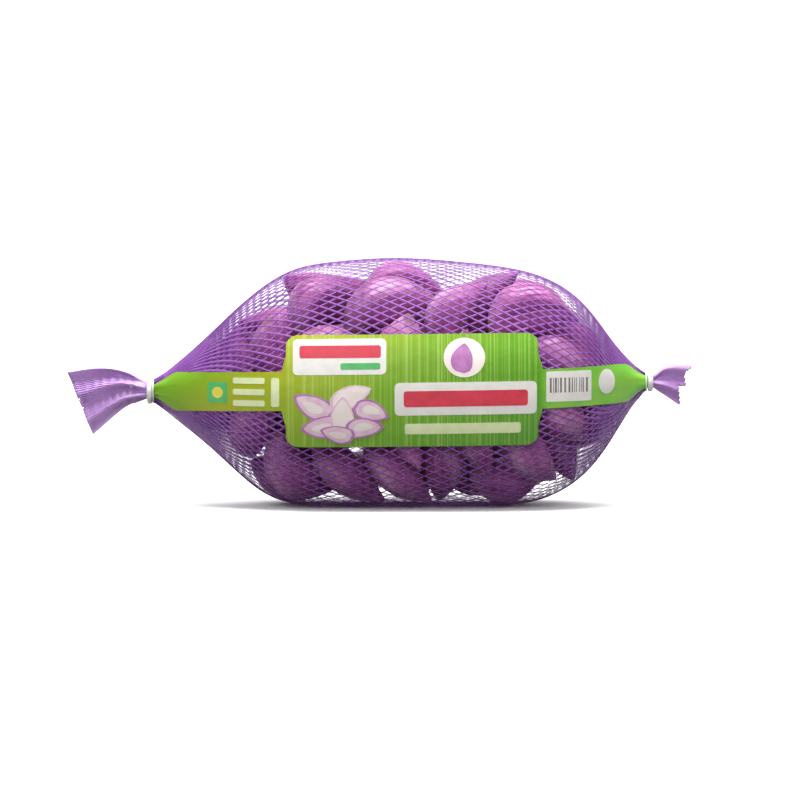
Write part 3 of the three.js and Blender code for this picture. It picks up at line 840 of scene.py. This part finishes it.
def tail_cut(side, share, random):
    """How much of a strand is missing at a tail's ragged end; share is 0 at its foot and 1 at its top."""
    if side == "left":
        return abs(random.normal(0, 0.55 * MM))
    notch = np.interp(share, (0, 0.3, 0.42, 0.5, 0.82, 1), (0, 1.9, 2.8, 0.3, 1.9, 0))
    return notch * MM + abs(random.normal(0, 0.12 * MM))


def trim(line, up, missing, at_start):
    """The strand without its last stretch."""
    if at_start:
        line, up = line[::-1], up[::-1]
    steps = np.linalg.norm(np.diff(line, axis=0), axis=1)
    left = steps[::-1].cumsum()[::-1]
    keep = max(int((left > missing).sum()), 2)
    line, up = line[: keep + 1], up[: keep + 1]
    return (line[::-1], up[::-1]) if at_start else (line, up)


def make_net(grid, rows, tree, materials, random):
    """The net as three pieces of strands: the filled length and the two tails."""
    lines = strand_lines(grid)
    left = next(i for i, x in enumerate(rows) if x >= LEFT_CLIP[0])
    right = max(i for i, x in enumerate(rows) if x <= RIGHT_CLIP[0])
    parts = {  # first row, the row after the last, and steps from one crossing to the next
        "net_body": (left, right + 1, 2),
        "net_tail_left": (0, left + 1, 5),
        "net_tail_right": (right, len(rows), 5),
    }
    made = {}
    for name, (first, stop, fineness) in parts.items():
        points, faces, area = [], [], 0.0
        width = STRAND_WIDTH if name == "net_body" else TAIL_STRAND_WIDTH
        thickness = STRAND_THICKNESS if name == "net_body" else TAIL_STRAND_THICKNESS
        end = grid[-1 if name == "net_tail_right" else 0]
        for p, n, lean in lines:
            line, up = subdivide(p[first:stop], n[first:stop], fineness)
            if name == "net_body":
                line = np.array([push_out(q, tree, STRAND_STAND_OFF) for q in line])
                line[:, 2] = np.maximum(line[:, 2], FLOOR_Z + STRAND_WIDTH / 2)
            else:
                at_start = name == "net_tail_left"
                tip = line[0] if at_start else line[-1]
                share = (tip[2] - end[:, 2].min()) / np.ptp(end[:, 2])
                missing = tail_cut("left" if at_start else "right", share, random)
                line, up = trim(line, up, missing, at_start)
            line = line + up * (CROSSING_LIFT * lean)
            spread = width
            if name == "net_body":
                off_cloves = np.array([tree.find_nearest(Vector(q))[3] for q in line])
                spread = width * (1 + FLATTER * (1 - stretch_at(line[:, 0])))
                spread = spread * np.interp(off_cloves, SLACK_REACH, SLACK_WIDTH)
            ring, quads = tape(line, up, spread, thickness)
            base = sum(len(r) for r in points)
            points.append(ring)
            faces.extend(tuple(base + v for v in f) for f in quads)
            steps = np.linalg.norm(np.diff(line, axis=0), axis=1)
            area += (steps * np.broadcast_to(spread, len(line))[:-1]).sum()
        obj = new_object(name, np.vstack(points), faces, materials[name != "net_body"], "net")
        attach(obj, "root")
        made[name] = (obj, area)
    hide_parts("net_sleeve")
    return made


# ---------------------------------------------------------------- label band


def band_heights():
    """x, lowest z and highest z of the CAD band's sections, from left to right."""
    points = world_vertices("label_band")
    xs = np.unique(np.round(points[:, 0], 6))
    sections = [points[np.abs(points[:, 0] - x) < 2e-6, 2] for x in xs]
    return xs, np.array([s.min() for s in sections]), np.array([s.max() for s in sections])


BAND_X, BAND_LOW, BAND_HIGH = band_heights()
BAND_TREE = node_tree("label_band")


def panel_limits():
    """x of the panel's two side edges: where the band's height jumps."""
    height = BAND_HIGH - BAND_LOW
    wide = np.where(height > 0.6 * height.max())[0]
    return BAND_X[wide[0]], BAND_X[wide[-1]]


PANEL_LEFT, PANEL_RIGHT = panel_limits()


def net_surface_tree(grid):
    """The net's crossings as one closed surface, for what lies on it."""
    filled = fill_unused(grid)
    count, columns = filled.shape[:2]
    faces = []
    for i in range(count - 1):
        here, ahead = i * columns, (i + 1) * columns
        for j in range(columns):
            n = (j + 1) % columns
            faces.append((here + j, here + n, ahead + n, ahead + j))
    return BVHTree.FromPolygons([tuple(p) for p in filled.reshape(-1, 3)], faces)


def band_grid():
    """Places down the band: a column at each x, and the rows from its lower to its upper edge."""
    edge = 0.06 * MM  # the strap's last column stands this far from the panel's first
    clear = (PANEL_LEFT - edge, PANEL_LEFT, PANEL_RIGHT, PANEL_RIGHT + edge)
    corner = 4.5 * MM  # columns stand closer along the panel's round corners
    xs = [
        *np.linspace(BAND_X[0], clear[0], 34),
        *(clear[1] + corner * (1 - np.cos(np.linspace(0, math.pi / 2, 9)))),
        *np.linspace(clear[1] + corner, clear[2] - corner, 52)[1:-1],
        *(clear[2] - corner * (1 - np.cos(np.linspace(math.pi / 2, 0, 9)))),
        *np.linspace(clear[3], BAND_X[-1], 30),
    ]
    rows_up = 24
    places = np.zeros((len(xs), rows_up + 1, 2))
    for i, x in enumerate(xs):
        low, high = np.interp(x, BAND_X, BAND_LOW), np.interp(x, BAND_X, BAND_HIGH)
        places[i, :, 0] = x
        places[i, :, 1] = np.linspace(low, high, rows_up + 1)
    return places


def lie_on_net(places, net_tree):
    """y of each place of the band once it is drawn back on to the net and smoothed by its own stiffness."""
    count, rows_up = places.shape[:2]
    limit = np.zeros((count, rows_up))
    for i in range(count):
        for k in range(rows_up):
            x, z = places[i, k]
            back = front_y(net_tree, x, z)
            if back is None:
                low = np.interp(x, BAND_X, BAND_LOW) + BAND_INSET
                high = np.interp(x, BAND_X, BAND_HIGH) - BAND_INSET
                back = front_y(BAND_TREE, x, min(max(z, low), high))
            limit[i, k] = np.nan if back is None else back - LABEL_STAND_OFF
    for k in range(rows_up):
        bad = np.isnan(limit[:, k])
        limit[bad, k] = np.interp(places[bad, 0, 0], places[~bad, 0, 0], limit[~bad, k])
    y = limit - 4 * MM
    for _ in range(BAND_ROUNDS):
        y[1:-1] = y[1:-1] * 0.5 + (y[:-2] + y[2:]) * 0.25
        y[:, 1:-1] = y[:, 1:-1] * 0.6 + (y[:, :-2] + y[:, 2:]) * 0.2
        y += 0.06 * MM
        y = np.minimum(y, limit)
    return y


def make_band(material):
    """The printed film: a wide panel with a strap to each clip."""
    places = band_grid()
    y = lie_on_net(places, NET_TREE)
    count, rows_up = y.shape
    front = np.dstack([places[:, :, 0], y, places[:, :, 1]]).reshape(-1, 3)
    points, faces = closed_sheet(front, LABEL_THICKNESS, count, rows_up)
    panel = PANEL_RIGHT - PANEL_LEFT
    uv = [((x - PANEL_LEFT) / panel, (z - BAND_FOOT) / BAND_HEIGHT) for x, _, z in points]
    obj = new_object("printed_band", points, faces, material, "label", uv, crisp=True)
    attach(obj, "root")
    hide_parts("label_band")
    return obj


# ---------------------------------------------------------------- prints on the band


def printed(shapes, tree, lift):
    """Thin closed patches of ink that follow the band. Each shape is an outline of (x, z) points round a
    centre that sees all of it."""
    points, faces = [], []
    for outline in shapes:
        outline = np.array(outline)
        centre = outline.mean(axis=0)
        reach = np.linalg.norm(outline - centre, axis=1).max()
        rings = max(int(reach / PRINT_STEP), 2)
        count = len(outline)
        flat = [centre + (outline - centre) * (r / rings) for r in range(rings, 0, -1)]
        flat = np.vstack([*flat, centre[None]])
        fronts = [front_y(tree, x, z) for x, z in flat]
        if any(y is None for y in fronts):
            raise ValueError("a print runs off the band")
        size = len(flat)
        base = len(points)
        points.extend((x, y - lift, z) for (x, z), y in zip(flat, fronts))
        points.extend((x, y + PRINT_SUNK, z) for (x, z), y in zip(flat, fronts))
        turned = np.roll(outline, -1, axis=0)
        clockwise = (outline[:, 0] * turned[:, 1] - turned[:, 0] * outline[:, 1]).sum() < 0
        made = []
        for r in range(rings):
            for k in range(count):
                n = (k + 1) % count
                a, b = r * count + k, r * count + n
                if r == rings - 1:
                    made.append((a, b, size - 1))
                else:
                    made.append((a, b, b + count, a + count))
        made += [tuple(size + v for v in reversed(f)) for f in made]
        made += [(k, size + k, size + (k + 1) % count, (k + 1) % count) for k in range(count)]
        if clockwise:
            made = [tuple(reversed(f)) for f in made]
        faces.extend(tuple(base + v for v in f) for f in made)
    return points, faces


def print_object(name, shapes, tree, lift, material):
    """One colour's prints as one piece."""
    points, faces = printed(shapes, tree, lift)
    obj = new_object(name, points, faces, material, "label", crisp=True)
    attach(obj, "root")
    return obj


def rounded(left, right, low, high, corner, tilt=0.0):
    """A rectangle with round corners, as points about a millimetre apart; sizes in millimetres."""
    corners = ((right, high, 0), (left, high, 90), (left, low, 180), (right, low, 270))
    path = []
    for x, z, turn in corners:
        cx = x - corner if x == right else x + corner
        cz = z - corner if z == high else z + corner
        for step in np.linspace(0, 90, 5):
            angle = math.radians(turn + step)
            path.append((cx + corner * math.cos(angle), cz + corner * math.sin(angle)))
    dense = []
    for (ax, az), (bx, bz) in zip(path, path[1:] + path[:1]):
        parts = max(int(math.hypot(bx - ax, bz - az)), 1)
        dense.extend((ax + (bx - ax) * i / parts, az + (bz - az) * i / parts) for i in range(parts))
    middle = (left + right) / 2
    return [(x * MM, (z + (x - middle) * tilt) * MM) for x, z in dense]


def oval(x, z, half_width, half_height):
    """An ellipse's outline; sizes in millimetres."""
    turns = np.linspace(0, 2 * math.pi, 28, endpoint=False)
    return [((x + half_width * math.cos(a)) * MM, (z + half_height * math.sin(a)) * MM) for a in turns]


def clove_print(x, z, length, width, lean, share=1.0, shift=0.0):
    """A clove's outline: a full back, a straighter belly and a point at its tip."""
    path = []
    turn = math.radians(lean)
    for t in np.linspace(0, 1, 15):
        path.append((t, width * 0.62 * fullness(t) ** 0.9))
    for t in np.linspace(1, 0, 15)[1:-1]:
        path.append((t, -width * 0.38 * fullness(t) ** 0.8))
    placed = []
    for t, side in path:
        along, side = (t - 0.5) * length * share, side * share + shift
        placed.append((
            (x + along * math.cos(turn) - side * math.sin(turn)) * MM,
            (z + along * math.sin(turn) + side * math.cos(turn)) * MM,
        ))
    return placed


# A heap of cloves printed at the panel's left: x, z, length, width, lean in degrees.
PRINTED_CLOVES = (
    (-22.0, 36.6, 15.0, 8.0, 158),
    (-9.5, 38.4, 15.5, 7.5, 28),
    (-19.5, 29.6, 14.5, 7.5, 192),
    (-2.8, 33.8, 12.5, 7.0, -14),
    (-11.5, 32.6, 14.0, 8.0, 96),
    (-5.0, 28.2, 13.5, 6.8, 8),
    (-14.0, 27.2, 12.0, 6.0, 172),
)


def make_prints(tree, random):
    """Plain blocks, a disc and a heap of cloves on the band; their places and sizes are in millimetres."""
    plate = print_material("print_white", (0.66, 0.64, 0.60), (0.74, 0.72, 0.69))
    red = print_material("print_red", (0.46, 0.018, 0.04), (0.58, 0.03, 0.06))
    green = print_material("print_green", (0.05, 0.34, 0.09), (0.07, 0.42, 0.12))
    grey = print_material("print_grey", (0.10, 0.09, 0.09), (0.20, 0.18, 0.18))
    pale = print_material("print_pale", (0.60, 0.68, 0.36), (0.70, 0.76, 0.46))
    purple = print_material("print_purple", (0.34, 0.11, 0.33), (0.48, 0.20, 0.46))
    rose = print_material("print_rose", (0.62, 0.40, 0.52), (0.76, 0.60, 0.66))
    cream = print_material("print_cream", (0.74, 0.64, 0.62), (0.80, 0.74, 0.70))
    yellow = print_material("print_yellow", (0.66, 0.55, 0.05), (0.76, 0.66, 0.08))
    low, mid, high = 0.07 * MM, 0.11 * MM, 0.15 * MM
    print_object("print_plates", [
        rounded(-29.0, 2.4, 46.6, 58.6, 1.6, PRINT_TILT),
        rounded(5.2, 53.0, 33.2, 44.2, 1.6, PRINT_TILT),
        rounded(56.2, 71.8, 37.4, 47.6, 0.5, PRINT_TILT),
        oval(77.3, 43.6, 2.9, 4.2),
    ], tree, low, plate)
    print_object("print_red_bars", [
        rounded(-26.8, 0.6, 52.2, 56.4, 0.8, PRINT_TILT),
        rounded(8.2, 50.0, 36.0, 41.4, 1.0, PRINT_TILT),
    ], tree, mid, red)
    print_object("print_green_bars", [
        rounded(-13.0, 0.4, 48.4, 50.6, 0.6, PRINT_TILT),
        rounded(-58.4, -51.6, 36.4, 43.4, 0.6, PRINT_TILT),
    ], tree, mid, green)
    rows = [rounded(-49.6, -38.6, z, z + 2.0, 0.5, PRINT_TILT) for z in (35.6, 39.4, 43.2)]
    rows.append(rounded(-36.4, -33.6, 35.6, 45.4, 0.6))
    rows.append(rounded(8.6, 47.6, 26.8, 30.4, 0.8, PRINT_TILT))
    print_object("print_pale_bars", rows, tree, mid, pale)
    bars, x = [], 57.4
    while x < 70.2:
        width = random.choice((0.25, 0.4, 0.65))
        bars.append(rounded(x, x + width, 40.4, 45.4, 0.1))
        x += width + random.choice((0.35, 0.5, 0.8))
    print_object("print_grey_bars", bars, tree, mid, grey)
    print_object("print_disc", [oval(28.6, 52.4, 7.0, 6.6)], tree, low, cream)
    print_object("print_disc_clove", [clove_print(28.6, 52.2, 10.0, 7.4, 90)], tree, mid, purple)
    print_object("print_dot", [oval(-55.0, 39.9, 1.9, 1.9)], tree, high, yellow)
    step = 0.12 * MM  # each printed clove covers the one before it
    for i, (x, z, length, width, lean) in enumerate(PRINTED_CLOVES):
        lift = low + i * step
        skin, flesh = (purple, rose) if i % 3 != 1 else (rose, cream)
        print_object(f"print_clove_{i + 1}", [clove_print(x, z, length, width, lean)], tree, lift, skin)
        inner = clove_print(x, z, length, width, lean, 0.84, 0.012 * width)
        print_object(f"print_clove_{i + 1}_inner", [inner], tree, lift + 0.04 * MM, flesh)
        core = clove_print(x, z, length, width * 0.8, lean, 0.5, 0.1 * width)
        print_object(f"print_clove_{i + 1}_light", [core], tree, lift + 0.08 * MM, cream)


# ---------------------------------------------------------------- clips


def ring(name, node, width, bulk, shift, material):
    """A rounded ring round a neck, along the line of its CAD clip: width runs along X and bulk outwards."""
    low, high = (np.array(c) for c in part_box(node))
    centre, half = (low + high) / 2, (high - low) / 2
    points, faces = [], []
    around, across = 72, 14
    for i in range(around):
        turn = 2 * math.pi * i / around
        way = np.array((0, math.cos(turn), math.sin(turn)))
        outer = np.array((0, half[1] * way[1], half[2] * way[2]))
        for k in range(across):
            roll = 2 * math.pi * k / across
            c, s = math.cos(roll), math.sin(roll)
            x = math.copysign(abs(c) ** 0.7, c) * width / 2
            out = math.copysign(abs(s) ** 0.7, s) * bulk / 2 - bulk / 2
            wave = 0.02 * MM * math.sin(5 * turn)
            points.append(centre + outer + way * (out + wave) + np.array((x + shift, 0, 0)))
    for i in range(around):
        for k in range(across):
            a, b = i * across, ((i + 1) % around) * across
            n = (k + 1) % across
            faces.append((a + k, a + n, b + n, b + k))
    obj = new_object(name, points, faces, material, "clip")
    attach(obj, "root")
    return obj


def make_clips(material):
    """Each clip is a flat plastic ring with a thin wire ring beside it, on the bag's side."""
    for side, wire_shift in (("left", 1.3 * MM), ("right", -1.5 * MM)):
        node = f"clip_{side}"
        main = ring(f"clip_ring_{side}", node, 1.7 * MM, 0.95 * MM, 0, material)
        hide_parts(node)
        ring(f"clip_wire_{side}", node, 0.5 * MM, 0.5 * MM, wire_shift, material)


# ---------------------------------------------------------------- build

random = np.random.default_rng(7)
clove_skin = clove_material()
cloves = [make_clove(node, clove_skin, random) for node in sorted(NODES) if node.startswith("clove")]
bpy.context.view_layer.update()
CLOVE_TREE = merged_tree(cloves)

make_loose_skins(CLOVE_TREE, clove_skin, random)

rows = net_rows()
net = first_net(rows, random)
net = tighten(net, rows, CLOVE_TREE)
net_materials = (
    net_material("net_plastic", (0.23, 0.065, 0.35), (0.31, 0.11, 0.44), 0.44),
    net_material("tail_plastic", (0.60, 0.33, 0.76), (0.72, 0.44, 0.88), 0.15),
)
net_pieces = make_net(net, rows, CLOVE_TREE, net_materials, random)
NET_TREE = net_surface_tree(net)

band = make_band(label_material())
make_prints(merged_tree([band]), random)
make_clips(clip_material())

# ---------------------------------------------------------------- floor, light and camera


def make_floor():
    """A white floor that curves up into a backdrop well behind the pack."""
    t = Tree("floor_paint")
    place = t.add("ShaderNodeTexCoord").outputs["Object"]
    grain = t.noise(place, 30, detail=2)
    t.link(t.greys(grain, 0.9, 0.92), t.shader.inputs["Base Color"])
    t.constant(Roughness=0.9, Specular_IOR_Level=0.1)
    near, start, bend, rise = -3.0, 0.8, 1.2, 3.0
    profile = [(near, 0.0), (start, 0.0)]
    profile += [
        (start + bend * math.sin(a), bend * (1 - math.cos(a))) for a in np.linspace(0, math.pi / 2, 24)[1:]
    ]
    profile.append((start + bend, rise))
    points = [(x, y, z + FLOOR_Z) for y, z in profile for x in (-4, 4)]
    faces = [(2 * i, 2 * i + 1, 2 * i + 3, 2 * i + 2) for i in range(len(profile) - 1)]
    mesh = bpy.data.meshes.new("floor")
    mesh.from_pydata(points, [], faces)
    mesh.polygons.foreach_set("use_smooth", [True] * len(faces))
    mesh.materials.append(t.material)
    floor = bpy.data.objects.new("floor", mesh)
    floor.visible_diffuse = False  # no light comes back up from it, so the pack darkens downwards
    bpy.context.scene.collection.objects.link(floor)


def area_light(name, place, aim, size, power):
    data = bpy.data.lights.new(name, "AREA")
    data.shape = "RECTANGLE"
    data.size, data.size_y = size
    data.energy = power
    obj = bpy.data.objects.new(name, data)
    obj.location = place
    obj.rotation_euler = (Vector(aim) - Vector(place)).to_track_quat("-Z", "Y").to_euler()
    bpy.context.scene.collection.objects.link(obj)


def make_lights():
    """A sky that is bright above and dark below, a top light, a soft front light and one for the backdrop."""
    world = bpy.data.worlds.new("studio")
    world.use_nodes = True
    nodes, links = world.node_tree.nodes, world.node_tree.links
    direction = nodes.new("ShaderNodeTexCoord").outputs["Generated"]
    part = nodes.new("ShaderNodeSeparateXYZ")
    links.new(direction, part.inputs[0])
    sky = nodes.new("ShaderNodeMapRange")
    sky.inputs["From Min"].default_value = -0.25
    sky.inputs["From Max"].default_value = 0.5
    sky.inputs["To Min"].default_value = 0.04
    sky.inputs["To Max"].default_value = 1.0
    links.new(part.outputs[2], sky.inputs["Value"])
    links.new(sky.outputs[0], nodes["Background"].inputs["Strength"])
    nodes["Background"].inputs["Color"].default_value = (1, 1, 1, 1)
    bpy.context.scene.world = world
    area_light("top", (0.03, -0.12, 0.8), (0, 0, 0.04), (0.5, 0.35), 10.5)
    area_light("front", (-0.25, -1.1, 0.45), (0, 0, 0.04), (0.6, 0.5), 4.2)
    area_light("sweep", (0.0, 0.6, 2.2), (0, 1.6, 0.6), (2.5, 1.5), 60)
    bpy.context.scene.view_settings.view_transform = "Standard"


def make_camera():
    """A long lens from the front, slightly above, with the pack a little to the left of the middle."""
    data = bpy.data.cameras.new("camera")
    sensor_width = 36
    distance = 1.35
    width_seen = 0.2733  # at the pack
    data.sensor_width = sensor_width
    data.lens = sensor_width * distance / width_seen
    data.clip_end = 20
    elevation = math.radians(3)
    aim = Vector((0.007, -0.01, 0.0369))
    obj = bpy.data.objects.new("camera", data)
    obj.location = aim + distance * Vector((0, -math.cos(elevation), math.sin(elevation)))
    obj.rotation_euler = (aim - obj.location).to_track_quat("-Z", "Y").to_euler()
    bpy.context.scene.collection.objects.link(obj)
    bpy.context.scene.camera = obj


make_floor()
make_lights()
make_camera()

bpy.context.view_layer.update()
